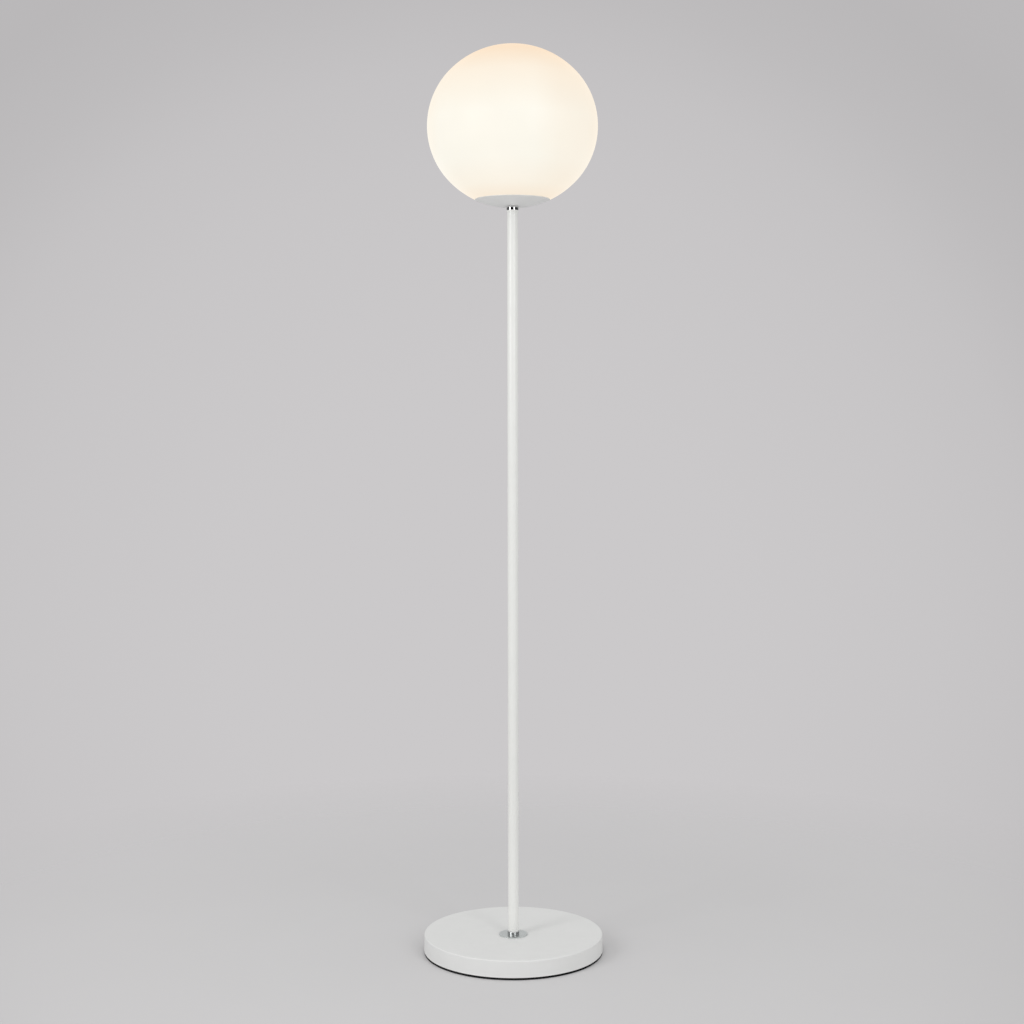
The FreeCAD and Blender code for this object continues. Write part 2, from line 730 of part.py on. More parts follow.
def block_clamps():
    """Brass tubes that hold the wires."""
    clamps = []
    start = block_middle - size.clamp_length / 2
    for index, x in enumerate(way_offsets):
        bar = lying_post(f"block_clamp_bar_{index + 1}", size.clamp_diameter / 2, size.clamp_length,
                         x, start, way_level)
        cuts = [lying_post(f"block_clamp_bore_{index + 1}", size.clamp_bore / 2, size.clamp_length,
                           x, start, way_level)]
        for side, place in enumerate((-size.clamp_screw_spacing / 2, size.clamp_screw_spacing / 2)):
            cuts.append(post(f"block_clamp_tap_{index + 1}_{side + 1}",
                             size.clamp_screw_diameter / 2 + size.thread_clearance,
                             size.clamp_diameter / 2, x, block_middle + place,
                             way_level - size.clamp_diameter / 2))
        clamps.append(cut(f"block_clamp_{index + 1}", bar, cuts))
    keep(group("block_clamps", clamps))


def block_screws():
    """Clamp screws, driven from below until they meet the wire."""
    bottom = chamber_top - size.block_height
    height = way_level - size.core_diameter / 2 - bottom
    screws = [post(f"block_screw_{index + 1}", size.clamp_screw_diameter / 2, height, x, y, bottom)
              for index, (x, y) in enumerate(clamp_screw_places())]
    keep(group("block_screws", screws))


# ---------------------------------------------------------------- rods, nuts and washers

def split_washer(name, bottom):
    """Spring washer with one slit."""
    blank = ring(name + "_blank", size.lock_washer_diameter / 2, plain_hole, bottom,
                 size.lock_washer_thickness)
    slit = block(name + "_slit", size.lock_washer_diameter, size.lock_washer_slit,
                 size.lock_washer_thickness, 0, -size.lock_washer_slit / 2, bottom)
    keep(cut(name, blank, [slit]))


def low_nut(name, bottom):
    """Six-sided nut on the threaded rod."""
    prism = doc.addObject("Part::Prism", name + "_blank")
    bind(prism, Circumradius=size.nut_flats / 2 * HEXAGON, Height=size.nut_height)
    move(prism, 0, 0, bottom)
    keep(cut(name, prism, [post(name + "_bore", tapped, size.nut_height, 0, 0, bottom)]))


def base_fixings():
    """What clamps the pole to the base, from below."""
    bottom = chamber_top - size.clamp_washer_thickness
    keep(ring("clamp_washer", size.clamp_washer_diameter / 2, plain_hole, bottom,
              size.clamp_washer_thickness))
    split_washer("base_lock_washer", bottom - size.lock_washer_thickness)
    low_nut("base_nut", under_nut)
    keep(ring("base_nipple", rod_radius, rod_bore, rod_bottom,
              pole_bottom + size.nipple_grip - rod_bottom))


# ---------------------------------------------------------------- pole

def chamfered_ring(name, outer, inner, bottom, height, low_chamfer, high_chamfer):
    """A ring with bevelled outer edges."""
    top = bottom + height
    outline = [(inner, bottom)]
    if low_chamfer is None:
        outline.append((outer, bottom))
    else:
        outline += [(outer - low_chamfer, bottom), (outer, bottom + low_chamfer)]
    outline += [(outer, top - high_chamfer), (outer - high_chamfer, top), (inner, top)]
    keep(turned(name, outline))


def pole_tube():
    """White tube with a rolled bead near its top that the neck collar rests on."""
    bead = size.bead_diameter / 2
    bead_bottom = bead_top - size.bead_height
    keep(turned("pole_tube", [
        (pole_bore, pole_bottom), (pole_radius, pole_bottom), (pole_radius, bead_bottom),
        (bead, bead_bottom + size.bead_slope), (bead, bead_top), (pole_radius, bead_top),
        (pole_radius, pole_top), (pole_bore, pole_top)]))


def pole():
    chamfered_ring("foot_washer", size.foot_washer_diameter / 2, plain_hole, seat_level,
                   size.foot_washer_thickness, None, size.foot_washer_chamfer)
    pole_tube()
    keep(ring("lower_plug", pole_bore - size.plug_clearance, tapped, pole_bottom, size.plug_length))
    keep(ring("upper_plug", pole_bore - size.plug_clearance, tapped, pole_top - size.plug_length,
              size.plug_length))
    collar = size.collar_diameter / 2
    sleeve = pole_radius + size.collar_clearance
    chamfered_ring("foot_collar", collar, sleeve, pole_bottom, size.foot_collar_height,
                   size.collar_chamfer, size.foot_collar_bevel)
    chamfered_ring("neck_collar", collar, sleeve, bead_top, size.neck_collar_height,
                   size.collar_chamfer, size.collar_chamfer)


# ---------------------------------------------------------------- dish and globe

def head_fixings():
    """What clamps dish and spring carrier to the pole, from above."""
    split_washer("head_lock_washer", carrier_top)
    low_nut("head_nut", carrier_top + size.lock_washer_thickness)
    bottom = pole_top - size.nipple_grip
    keep(ring("head_nipple", rod_radius, rod_bore, bottom, holder_bottom + size.holder_grip - bottom))


def dish():
    """Spun dish: a cap of a ball with a flat middle, trimmed level at its rim."""
    inner_ball = ball_radius - size.dish_wall
    keep(turned("dish", [
        (plain_hole, pole_top), (dish_flat, pole_top),
        Arc(0, ball_centre, ball_radius),
        (dish_radius, dish_rim), (other_side(inner_ball, ball_centre - dish_rim), dish_rim),
        Arc(0, ball_centre, inner_ball),
        (other_side(inner_ball, ball_centre - dish_floor), dish_floor), (plain_hole, dish_floor)]))


def globe_gasket():
    radius = size.gasket_diameter / 2
    keep(ring("globe_gasket", radius, radius - size.gasket_width, dish_rim, size.gasket_thickness))


def spring_carrier():
    """Disc that carries the three leaf springs."""
    blank = ring("spring_carrier_blank", size.carrier_diameter / 2, plain_hole, dish_floor,
                 size.carrier_thickness)
    holes = [post(f"spring_carrier_hole_{index + 1}", size.rivet_diameter / 2 + size.rivet_clearance,
                  size.carrier_thickness, size.rivet_place * cosine, size.rivet_place * sine, dish_floor)
             for index, (cosine, sine) in enumerate(around(SPRING_COUNT, FRONT))]
    keep(cut("spring_carrier", blank, holes))


def globe_springs():
    """Leaf springs that rise from the carrier and bear on the edge of the globe's opening."""
    level = carrier_top + size.spring_thickness / 2
    bulge = inner_opening + size.spring_reach
    route = [(size.spring_start, level), (size.spring_bend, level),
             (bulge - size.spring_knee_inset, globe_bottom - size.spring_knee_drop),
             (bulge, globe_bottom + size.spring_bulge_rise),
             (bulge - size.spring_tip_inset, globe_bottom + size.spring_tip_rise)]
    for index in range(SPRING_COUNT):
        name = f"globe_spring_{index + 1}"
        strip = bent_strip(name, route, size.spring_bend_radius, size.spring_width,
                           size.spring_thickness)
        hole = new_sketch(strip, name + "_hole", "XY_Plane")
        radius = size.rivet_diameter / 2 + size.rivet_clearance
        hole.addGeometry(Part.Circle(vector(size.rivet_place.value, 0, 0), vector(0, 0, 1),
                                     radius.value), False)
        hole.addConstraint(Sketcher.Constraint("PointOnObject", 0, CENTRE, LEVEL_AXIS))
        offset = Sketcher.Constraint("DistanceX", *ORIGIN, 0, CENTRE, size.rivet_place.value)
        hold(hole, offset, size.rivet_place)
        hold(hole, Sketcher.Constraint("Radius", 0, radius.value), radius)
        drill = strip.newObject("PartDesign::Pocket", name + "_drill")
        drill.Profile = hole
        drill.Type = "ThroughAll"
        drill.Reversed = True
        turn = FreeCAD.Rotation(vector(0, 0, 1), FRONT + 360 * index / SPRING_COUNT)
        strip.Placement = FreeCAD.Placement(vector(), turn)
        keep(strip)


def spring_rivets():
    """Rivets, flush under the carrier and domed above the springs' feet."""
    shank = size.rivet_diameter / 2
    head = size.rivet_head / 2
    under_head = carrier_top + size.spring_thickness
    rise = size.rivet_head_height
    dome = (head * head + rise * rise) / (rise * 2)
    outline = [(0, dish_floor), (shank, dish_floor), (shank, under_head), (head, under_head),
               Arc(0, under_head + rise - dome, dome), (0, under_head + rise)]
    rivets = [move(turned(f"spring_rivet_{index + 1}", outline),
                   size.rivet_place * cosine, size.rivet_place * sine)
              for index, (cosine, sine) in enumerate(around(SPRING_COUNT, FRONT))]
    keep(group("spring_rivets", rivets))


def globe():
    """Blown opal glass: a slightly flattened ball, cut level where the dish closes it.

    Each half of its outline is a crown about the axis and a flank that meet at 45 degrees.
    """
    wall = size.globe_wall
    outer_reach = crown_radius * DIAGONAL
    outer_rise = flank_radius * DIAGONAL
    inner_reach = (crown_radius - wall) * DIAGONAL
    inner_rise = (flank_radius - wall) * DIAGONAL
    top = globe_centre + globe_half_height
    keep(turned("globe", [
        (inner_opening, globe_bottom), (opening_radius, globe_bottom),
        Arc(0, crown_level, crown_radius), (outer_reach, globe_centre - outer_rise),
        Arc(crown_shift, globe_centre, flank_radius), (outer_reach, globe_centre + outer_rise),
        Arc(0, globe_centre - crown_shift, crown_radius), (0, top), (0, top - wall),
        Arc(0, globe_centre - crown_shift, crown_radius - wall), (inner_reach, globe_centre + inner_rise),
        Arc(crown_shift, globe_centre, flank_radius - wall), (inner_reach, globe_centre - inner_rise),
        Arc(0, crown_level, crown_radius - wall)]))


# ---------------------------------------------------------------- lampholder

def holder_cap():
    """Cap of the holder: tapped neck, sloping shoulder, short skirt."""
    neck = size.holder_neck_diameter / 2
    wall = size.holder_wall
    inside = holder_cap_radius - wall
    neck_top = holder_bottom + size.holder_neck_height
    shoulder = holder_bottom + size.holder_shoulder
    rim = holder_bottom + size.holder_cap_height
    keep(turned("holder_cap", [
        (tapped, holder_bottom), (neck, holder_bottom), (neck, neck_top),
        (holder_cap_radius, shoulder), (holder_cap_radius, rim), (inside, rim),
        (inside, shoulder + wall), (neck, holder_bottom + size.holder_grip),
        (tapped, holder_bottom + size.holder_grip)]))


def holder_core():
    """Floor of the holder with a tube that backs the screw shell."""
    radius = holder_cap_radius
    keep(turned("holder_core", [
        (0, core_bottom), (radius, core_bottom), (radius, core_floor), (core_tube_outside, core_floor),
        (core_tube_outside, core_tube_top), (core_tube_inside, core_tube_top),
        (core_tube_inside, core_floor), (0, core_floor)]))


def holder_shell():
    """Outer shell, screwed over the cap, with grip rings, a bead and a lip at its mouth."""
    inside = holder_cap_radius + size.holder_clearance
    outside = inside + size.holder_wall
    crest = outside + size.holder_bead_reach
    bottom = core_bottom - size.holder_lap
    bead_bottom = holder_top - size.holder_bead_height
    outline = [(inside, bottom), (outside, bottom)]
    for index in range(GRIP_COUNT):
        low = bottom + size.holder_grip_spacing * (index + 1)
        high = low + size.holder_grip_width
        outline += [(outside, low), (crest, low + size.holder_bead_reach / 2),
                    (crest, high - size.holder_bead_reach / 2), (outside, high)]
    outline += [(outside, bead_bottom), (crest, bead_bottom + size.holder_bead_reach),
                (crest, holder_top - size.holder_bead_reach / 2),
                (crest - size.holder_bead_reach / 2, holder_top),
                (core_tube_inside, holder_top), (core_tube_inside, core_tube_top), (inside, core_tube_top)]
    keep(turned("holder_shell", outline))


def holder_screw_shell():
    """Thread sleeve of the holder, with a floor ring that seats it."""
    bottom = core_floor
    floor_top = core_floor + size.socket_wall
    floor_inside = socket_radius - size.socket_floor
    keep(turned("holder_screw_shell", [
        (floor_inside, bottom), (socket_outside, bottom), (socket_outside, core_tube_top),
        (socket_radius, core_tube_top), (socket_radius, floor_top), (floor_inside, floor_top)]))


def holder_contact():
    """Centre contact: a springy strip that rises from the floor to the bulb's tip."""
    low = core_floor + size.contact_thickness / 2
    high = contact_top - size.contact_thickness / 2
    foot = size.contact_foot
    strip = bent_strip("holder_contact", [
        (0, low), (foot - size.contact_first_bend, low),
        (foot - size.contact_second_bend, high), (foot + size.contact_tongue, high)],
        size.contact_bend_radius, size.contact_width, size.contact_thickness)
    keep(move(strip, -foot))


def terminal_side(side, offset):
    """Lowest X of something that starts at an offset from the axis, on either side."""
    return offset if side > 0 else -offset - size.terminal_width


def holder_terminals():
    """Two brass blocks under the core."""
    blocks = [block(f"holder_terminal_{index + 1}", size.terminal_width, size.terminal_width,
                    size.terminal_height, terminal_side(side, size.terminal_place),
                    -size.terminal_width / 2, core_bottom - size.terminal_height)
              for index, side in enumerate((-1, 1))]
    keep(group("holder_terminals", blocks))


def holder_screws():
    """Terminal screws, driven from outside towards the axis."""
    level = core_bottom - size.terminal_height / 2
    start = size.terminal_place + size.terminal_width
    screws = []
    for index, side in enumerate((-1, 1)):
        screw = bind(doc.addObject("Part::Cylinder", f"holder_screw_{index + 1}"),
                     Radius=size.terminal_screw_diameter / 2, Height=size.terminal_screw_length)
        screw.Placement = FreeCAD.Placement(vector(), FreeCAD.Rotation(vector(0, 1, 0), 90 * side))
        screws.append(move(screw, start * side, 0, level))
    keep(group("holder_screws", screws))


# ---------------------------------------------------------------- bulb

def bulb():
    tip = size.tip_diameter / 2
    tip_top = bulb_bottom + size.tip_height
    keep(turned("bulb_tip", [
        (0, bulb_bottom), (size.tip_face_diameter / 2, bulb_bottom), (tip, tip_top), (0, tip_top)]))
    keep(turned("bulb_insulator", [
        (0, tip_top), (tip, tip_top), (screw_cap_radius, cap_bottom), (0, cap_bottom)]))
    keep(ring("bulb_screw_cap", screw_cap_radius, screw_cap_inside, cap_bottom,
              screw_cap_top - cap_bottom))
    spigot = screw_cap_inside - size.holder_clearance
    spigot_inside = spigot - size.bulb_wall
    neck = size.bulb_neck_diameter / 2
    neck_top = screw_cap_top + size.bulb_neck_height
    ledge = bulb_rim - size.board_drop - size.board_thickness
    ledge_inside = rim_inside - size.board_ledge
    keep(turned("bulb_housing", [
        (spigot_inside, cap_bottom), (spigot, cap_bottom), (spigot, screw_cap_top),
        (neck, screw_cap_top), (neck, neck_top), (rim_radius, bulb_rim), (rim_inside, bulb_rim),
        (rim_inside, ledge), (ledge_inside, ledge), (spigot_inside, neck_top)]))
    board = rim_inside - size.holder_clearance
    board_top = ledge + size.board_thickness
    keep(turned("bulb_board", [(0, ledge), (board, ledge), (board, board_top), (0, board_top)]))
    chips = [block(f"bulb_led_{index + 1}", size.chip_size, size.chip_size, size.chip_height,
                   size.chip_circle / 2 * cosine - size.chip_size / 2,
                   size.chip_circle / 2 * sine - size.chip_size / 2, board_top)
             for index, (cosine, sine) in enumerate(around(CHIP_COUNT, 0))]
    keep(group("bulb_leds", chips))
    inner = dome_radius - size.bulb_wall
    keep(turned("bulb_diffuser", [
        (rim_inside, bulb_rim), (rim_radius, bulb_rim),
        Arc(0, dome_centre, dome_radius), (0, bulb_top), (0, bulb_top - size.bulb_wall),
        Arc(0, dome_centre, inner)]))


# ---------------------------------------------------------------- inner lead

lead_bottom = rod_bottom + size.core_diameter
lead_top = holder_bottom + size.holder_grip - size.core_diameter


def inner_lead():
    """Sheathed lead, straight up the hollow rods and the pole."""
    keep(post("inner_lead", size.lead_diameter / 2, lead_top - lead_bottom, 0, 0, lead_bottom))


def base_cores():
    """Cores from the lower end of the lead, under the nut and up into the block."""
    spread = size.core_spread.value
    low = plate_top.value + size.core_diameter.value * 2
    high = way_level.value
    sweep = size.core_sweep.value
    climb = size.core_climb.value
    level_out = size.core_level_out.value
    end = block_middle.value - size.clamp_screw_spacing.value / 2 + size.clamp_screw_diameter.value
    routes = []
    for offset, (cosine, sine) in zip(way_offsets, reversed(around(WAY_COUNT, RIGHT_CORE))):
        x = offset.value
        routes.append([
            vector(spread * cosine, spread * sine, lead_bottom.value),
            vector(spread * cosine, spread * sine, low),
            vector(x * sweep / level_out, sweep, low),
            vector(x * climb / level_out, climb, (low + high) / 2),
            vector(x, level_out, high),
            vector(x, end, high)])
    keep(wires("base_cores", routes))


def head_cores():
    """Cores from the upper end of the lead out to the holder's terminals."""
    spread = size.core_spread.value
    level = core_bottom.value - size.terminal_height.value / 2
    routes = [[
        vector(side * spread, 0, lead_top.value),
        vector(side * spread, 0, level),
        vector(side * size.terminal_place.value, 0, level)] for side in (-1, 1)]
    keep(wires("head_cores", routes))


# ---------------------------------------------------------------- build, check and write

def build():
    base_pad()
    base_plate()
    plate_screws()
    weight_inserts()
    base_weight()
    base_cover()
    inlet_bush()
    terminal_block()
    block_clamps()
    block_screws()
    base_fixings()
    pole()
    inner_lead()
    base_cores()
    head_fixings()
    dish()
    globe_gasket()
    spring_carrier()
    globe_springs()
    spring_rivets()
    globe()
    holder_cap()
    holder_core()
    holder_shell()
    holder_screw_shell()
    holder_contact()
    holder_terminals()
    holder_screws()
    head_cores()
    bulb()


def check():
    """Stop on a failed feature, a loose sketch or a broken solid."""
    for item in doc.Objects:
        if "Invalid" in item.State or "Error" in item.State:
            raise RuntimeError(f"{item.Label} failed: {item.State}")
        if item.TypeId == "Sketcher::SketchObject" and not item.FullyConstrained:
            raise RuntimeError(f"{item.Label} isn't fully held")
    for node in nodes:
        shape = node.Shape
        if shape.isNull() or not shape.isValid() or not shape.Solids:
            raise RuntimeError(f"{node.Label} has no sound solid")


def write():
    os.makedirs("parts", exist_ok=True)
    for node in nodes:
        node.Shape.exportStep(f"parts/{node.Label}.step")
        box = node.Shape.BoundBox
        print(f"{node.Label:20} {len(node.Shape.Solids):2} solids  {node.Shape.Volume:12.1f} mm3  "
              f"z {box.ZMin:8.2f} to {box.ZMax:8.2f}  x {box.XMin:7.2f} to {box.XMax:7.2f}")


build()
doc.recompute()
check()
write()
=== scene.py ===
import json
import math

import bpy
from mathutils import Euler, Matrix, Vector


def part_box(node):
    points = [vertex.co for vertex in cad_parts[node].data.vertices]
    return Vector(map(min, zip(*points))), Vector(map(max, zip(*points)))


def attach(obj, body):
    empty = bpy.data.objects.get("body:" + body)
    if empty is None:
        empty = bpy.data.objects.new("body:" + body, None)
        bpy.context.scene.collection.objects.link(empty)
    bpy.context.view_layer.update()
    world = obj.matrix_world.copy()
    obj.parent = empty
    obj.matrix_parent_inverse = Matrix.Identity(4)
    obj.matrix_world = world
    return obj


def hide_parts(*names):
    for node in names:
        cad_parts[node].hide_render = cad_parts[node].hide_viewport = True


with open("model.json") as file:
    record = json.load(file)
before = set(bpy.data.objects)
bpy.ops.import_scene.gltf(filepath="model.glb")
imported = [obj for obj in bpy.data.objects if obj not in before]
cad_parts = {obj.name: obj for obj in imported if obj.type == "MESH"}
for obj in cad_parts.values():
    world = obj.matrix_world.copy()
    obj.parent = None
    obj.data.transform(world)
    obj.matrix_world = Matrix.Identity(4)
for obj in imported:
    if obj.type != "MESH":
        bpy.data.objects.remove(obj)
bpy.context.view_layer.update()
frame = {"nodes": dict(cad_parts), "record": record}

scene = bpy.context.scene
scene.view_settings.view_transform = "Standard"
nodes = frame["nodes"]


# ---------------------------------------------------------------- camera

CAMERA_PLACE = (-0.0015, -2.8127, 0.9072)  # 2.8 m in front of the pole, about 0.9 m up
CAMERA_PITCH = 0.058895  # radians down, 3.4 degrees
CAMERA_ROLL = -0.00122  # radians
LENS = 59.615  # millimetres, on a sensor 36 mm wide
SENSOR_WIDTH = 36.0


def add_camera():
    """The photograph's camera."""
    camera = bpy.data.cameras.new("camera")
    camera.sensor_fit = "HORIZONTAL"
    camera.sensor_width = SENSOR_WIDTH
    camera.lens = LENS
    holder = bpy.data.objects.new("camera", camera)
    tip = Euler((math.pi / 2 - CAMERA_PITCH, 0, 0)).to_matrix().to_4x4()
    roll = Matrix.Rotation(CAMERA_ROLL, 4, "Z")
    holder.matrix_world = Matrix.Translation(CAMERA_PLACE) @ tip @ roll
    scene.collection.objects.link(holder)
    scene.camera = holder


# ---------------------------------------------------------------- node helpers

NOISE_RANGE = (0.3, 0.7)  # most of a noise's values lie between these
MIX_FIRST, MIX_SECOND, MIX_RESULT = 6, 7, 2  # the colour sockets of a Mix node


class Nodes:
    """A short way to build a node tree."""

    def __init__(self, tree):
        self.tree = tree
        self.tree.nodes.clear()

    def add(self, kind, **settings):
        """A node with the given properties."""
        node = self.tree.nodes.new(kind)
        for name, value in settings.items():
            setattr(node, name, value)
        return node

    def link(self, output, target):
        self.tree.links.new(output, target)

    def noise(self, scale, detail=2.0, roughness=0.5, coordinates=None):
        node = self.add("ShaderNodeTexNoise")
        node.inputs["Scale"].default_value = scale
        node.inputs["Detail"].default_value = detail
        node.inputs["Roughness"].default_value = roughness
        if coordinates is not None:
            self.link(coordinates, node.inputs["Vector"])
        return node.outputs["Fac"]

    def spread(self, value, low, high, from_low=NOISE_RANGE[0], from_high=NOISE_RANGE[1]):
        """Map a value's usual range to another range."""
        node = self.add("ShaderNodeMapRange")
        node.inputs["From Min"].default_value = from_low
        node.inputs["From Max"].default_value = from_high
        node.inputs["To Min"].default_value = low
        node.inputs["To Max"].default_value = high
        self.link(value, node.inputs["Value"])
        return node.outputs["Result"]

    def ramp(self, value, stops):
        """A colour ramp; each stop is a place and a linear colour."""
        node = self.add("ShaderNodeValToRGB")
        elements = node.color_ramp.elements
        while len(elements) > 1:
            elements.remove(elements[-1])
        elements[0].position = stops[0][0]
        elements[0].color = (*stops[0][1], 1)
        for place, colour in stops[1:]:
            elements.new(place).color = (*colour, 1)
        self.link(value, node.inputs["Fac"])
        return node.outputs["Color"]

    def two_tone(self, noise, first, second):
        """Blend two colours over a noise's usual range."""
        return self.ramp(noise, list(zip(NOISE_RANGE, (first, second))))

    def math(self, operation, first, second=None):
        node = self.add("ShaderNodeMath", operation=operation)
        for socket, value in zip(node.inputs, (first, second)):
            if value is None:
                continue
            if isinstance(value, (int, float)):
                socket.default_value = value
            else:
                self.link(value, socket)
        return node.outputs[0]

    def bump(self, height, strength, distance):
        node = self.add("ShaderNodeBump")
        node.inputs["Strength"].default_value = strength
        node.inputs["Distance"].default_value = distance
        self.link(height, node.inputs["Height"])
        return node.outputs["Normal"]

    def mix_shaders(self, share, first, second):
        """The first shader where the share is 0, the second where it is 1."""
        node = self.add("ShaderNodeMixShader")
        for socket, output in zip(node.inputs, (share, first.outputs[0], second.outputs[0])):
            self.link(output, socket)
        return node


def grey(value):
    return (value, value, value)


def greys(stops):
    """A ramp's stops from places and grey values."""
    return [(stop, grey(tone)) for stop, tone in stops]


def new_material(name):
    material = bpy.data.materials.new(name)
    material.use_nodes = True
    return material, Nodes(material.node_tree)


def object_place(build):
    """The object's own coordinates."""
    return build.add("ShaderNodeTexCoord").outputs["Object"]


def new_principled(name):
    """A material with its node builder, its Principled shader and the object's own coordinates."""
    material, build = new_material(name)
    return material, build, build.add("ShaderNodeBsdfPrincipled"), object_place(build)


def finish(build, shader):
    output = build.add("ShaderNodeOutputMaterial")
    build.link(shader.outputs[0], output.inputs["Surface"])


GRAIN_HEIGHT = 0.0002
COAT_ROUGHNESS = 0.08


def surface(name, colour, rough, metal=0.0, mottle=0.04, mottle_scale=60.0, rough_spread=0.15,
            grain=0.0, grain_scale=900.0, specular=0.5, coat=0.0, stretch=None):
    """A solid material: colour with a slight mottle, roughness that wanders, and a fine grain."""
    material, build, shader, place = new_principled(name)
    if stretch is not None:
        mapping = build.add("ShaderNodeMapping")
        mapping.inputs["Scale"].default_value = stretch
        build.link(place, mapping.inputs["Vector"])
        place = mapping.outputs["Vector"]
    patch = build.noise(mottle_scale, 3.0, 0.5, place)
    darker = [channel * (1 - mottle) for channel in colour]
    lighter = [min(1.0, channel * (1 + mottle * 0.5)) for channel in colour]
    build.link(build.two_tone(patch, darker, lighter), shader.inputs["Base Color"])
    wander = build.noise(mottle_scale * 2.3, 4.0, 0.6, place)
    build.link(build.spread(wander, rough * (1 - rough_spread), rough * (1 + rough_spread)),
               shader.inputs["Roughness"])
    shader.inputs["Metallic"].default_value = metal
    shader.inputs["Specular IOR Level"].default_value = specular
    shader.inputs["Coat Weight"].default_value = coat
    shader.inputs["Coat Roughness"].default_value = COAT_ROUGHNESS
    if grain:
        height = build.noise(grain_scale, 2.0, 0.5, place)
        build.link(build.bump(height, grain, GRAIN_HEIGHT), shader.inputs["Normal"])
    finish(build, shader)
    return material


# ---------------------------------------------------------------- materials

GLOW_WARM = (0.80, 0.605, 0.415)  # where the share of the bulb's light, with the painted side shade, is 0
GLOW_WHITE = (0.845, 0.82, 0.738)  # where it is 1
GLOW_BY_LEVEL = ((0.05, 0.30), (0.08, 0.41), (0.17, 0.80), (0.30, 0.98), (0.55, 0.97), (0.65, 0.82),
                 (0.80, 0.58), (0.90, 0.22), (0.95, 0.03))  # share by height, 0 below to 1 at the top
PAINTED_SIDE_SHADE = ((0.0, 0.82), (0.08, 1.0), (0.62, 1.0), (0.77, 0.85), (0.93, 0.80),
                (1.0, 0.64))  # share from left to right, lower at both sides and most on the right: painted shade


def opal_glass():
    """Opal glass lit from inside: white about the bulb, warmer towards top and bottom, and dimmer and
    warmer towards the sides, most on the right, which is painted shade.
    """
    material, build, shader, place = new_principled("opal_glass")
    low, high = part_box("globe")
    radius = (high.x - low.x) / 2
    middle = high.z - radius
    split = build.add("ShaderNodeSeparateXYZ")
    build.link(place, split.inputs[0])
    level = build.spread(split.outputs["Z"], 0.0, 1.0, middle - radius, middle + radius)
    by_level = build.ramp(level, greys(GLOW_BY_LEVEL))
    across = build.spread(split.outputs["X"], 0.0, 1.0, -radius, radius)
    # painted shade: the glow is lowered towards the sides, most on the right
    painted_side_shade = build.ramp(across, greys(PAINTED_SIDE_SHADE))
    cloud = build.spread(build.noise(9.0, 2.0, 0.5, place), 0.97, 1.0)
    share = build.math("MULTIPLY", build.math("MULTIPLY", by_level, painted_side_shade), cloud)
    glow = build.ramp(share, [(0.0, GLOW_WARM), (1.0, GLOW_WHITE)])
    build.link(glow, shader.inputs["Emission Color"])
    shader.inputs["Emission Strength"].default_value = 1.0
    body = build.two_tone(build.noise(14.0, 2.0, 0.5, place), (0.13, 0.125, 0.115), (0.15, 0.145, 0.135))
    build.link(body, shader.inputs["Base Color"])
    wander = build.noise(30.0, 3.0, 0.5, place)
    build.link(build.spread(wander, 0.42, 0.5), shader.inputs["Roughness"])
    shader.inputs["Specular IOR Level"].default_value = 0.3
    finish(build, shader)
    return material


POLISH_STRETCH = (30.0, 30.0, 2200.0)  # draws the polishing marks out round the axis


def chrome(name, colour, rough):
    """Polished plate with faint polishing marks round the axis."""
    material, build, shader, place = new_principled(name)
    darker = [channel * 0.96 for channel in colour]
    build.link(build.two_tone(build.noise(90.0, 2.0, 0.5, place), darker, colour),
               shader.inputs["Base Color"])
    rings = build.add("ShaderNodeMapping")
    rings.inputs["Scale"].default_value = POLISH_STRETCH
    build.link(place, rings.inputs["Vector"])
    marks = build.noise(1.0, 3.0, 0.6, rings.outputs["Vector"])
    build.link(build.spread(marks, rough * 0.75, rough * 1.25), shader.inputs["Roughness"])
    build.link(build.bump(marks, 0.02, 0.0001), shader.inputs["Normal"])
    shader.inputs["Metallic"].default_value = 1.0
    finish(build, shader)
    return material


def foam():
    """Closed-cell foam: small soft cells on near-black rubber."""
    material, build, shader, place = new_principled("foam")
    cells = build.add("ShaderNodeTexVoronoi")
    cells.inputs["Scale"].default_value = 1100.0
    build.link(place, cells.inputs["Vector"])
    build.link(build.ramp(cells.outputs["Distance"],
                          [(0.0, (0.004, 0.004, 0.005)), (0.6, (0.014, 0.014, 0.015))]),
               shader.inputs["Base Color"])
    shader.inputs["Specular IOR Level"].default_value = 0.12
    build.link(build.spread(build.noise(200.0, 3.0, 0.5, place), 0.82, 0.95), shader.inputs["Roughness"])
    build.link(build.bump(cells.outputs["Distance"], 0.35, 0.0004), shader.inputs["Normal"])
    finish(build, shader)
    return material


def concrete():
    """Cast ballast: grey, with pores and a coarse mottle."""
    material, build, shader, place = new_principled("concrete")
    mottle = build.noise(45.0, 8.0, 0.65, place)
    build.link(build.two_tone(mottle, (0.27, 0.265, 0.25), (0.42, 0.41, 0.39)), shader.inputs["Base Color"])
    pores = build.add("ShaderNodeTexVoronoi")
    pores.inputs["Scale"].default_value = 260.0
    build.link(place, pores.inputs["Vector"])
    pit = build.spread(pores.outputs["Distance"], 0.0, 1.0, 0.05, 0.25)
    build.link(build.bump(pit, 0.5, 0.0006), shader.inputs["Normal"])
    build.link(build.spread(mottle, 0.78, 0.95), shader.inputs["Roughness"])
    finish(build, shader)
    return material


def silicone():
    """Milky silicone: light passes a little, with a soft sheen."""
    material, build, shader, place = new_principled("silicone")
    build.link(build.two_tone(build.noise(120.0, 2.0, 0.5, place), (0.78, 0.78, 0.75), (0.86, 0.86, 0.84)),
               shader.inputs["Base Color"])
    build.link(build.spread(build.noise(260.0, 2.0, 0.5, place), 0.38, 0.5), shader.inputs["Roughness"])
    shader.inputs["Subsurface Weight"].default_value = 0.3
    shader.inputs["Subsurface Radius"].default_value = (0.002, 0.002, 0.002)
    shader.inputs["Subsurface Scale"].default_value = 1.0
    finish(build, shader)
    return material


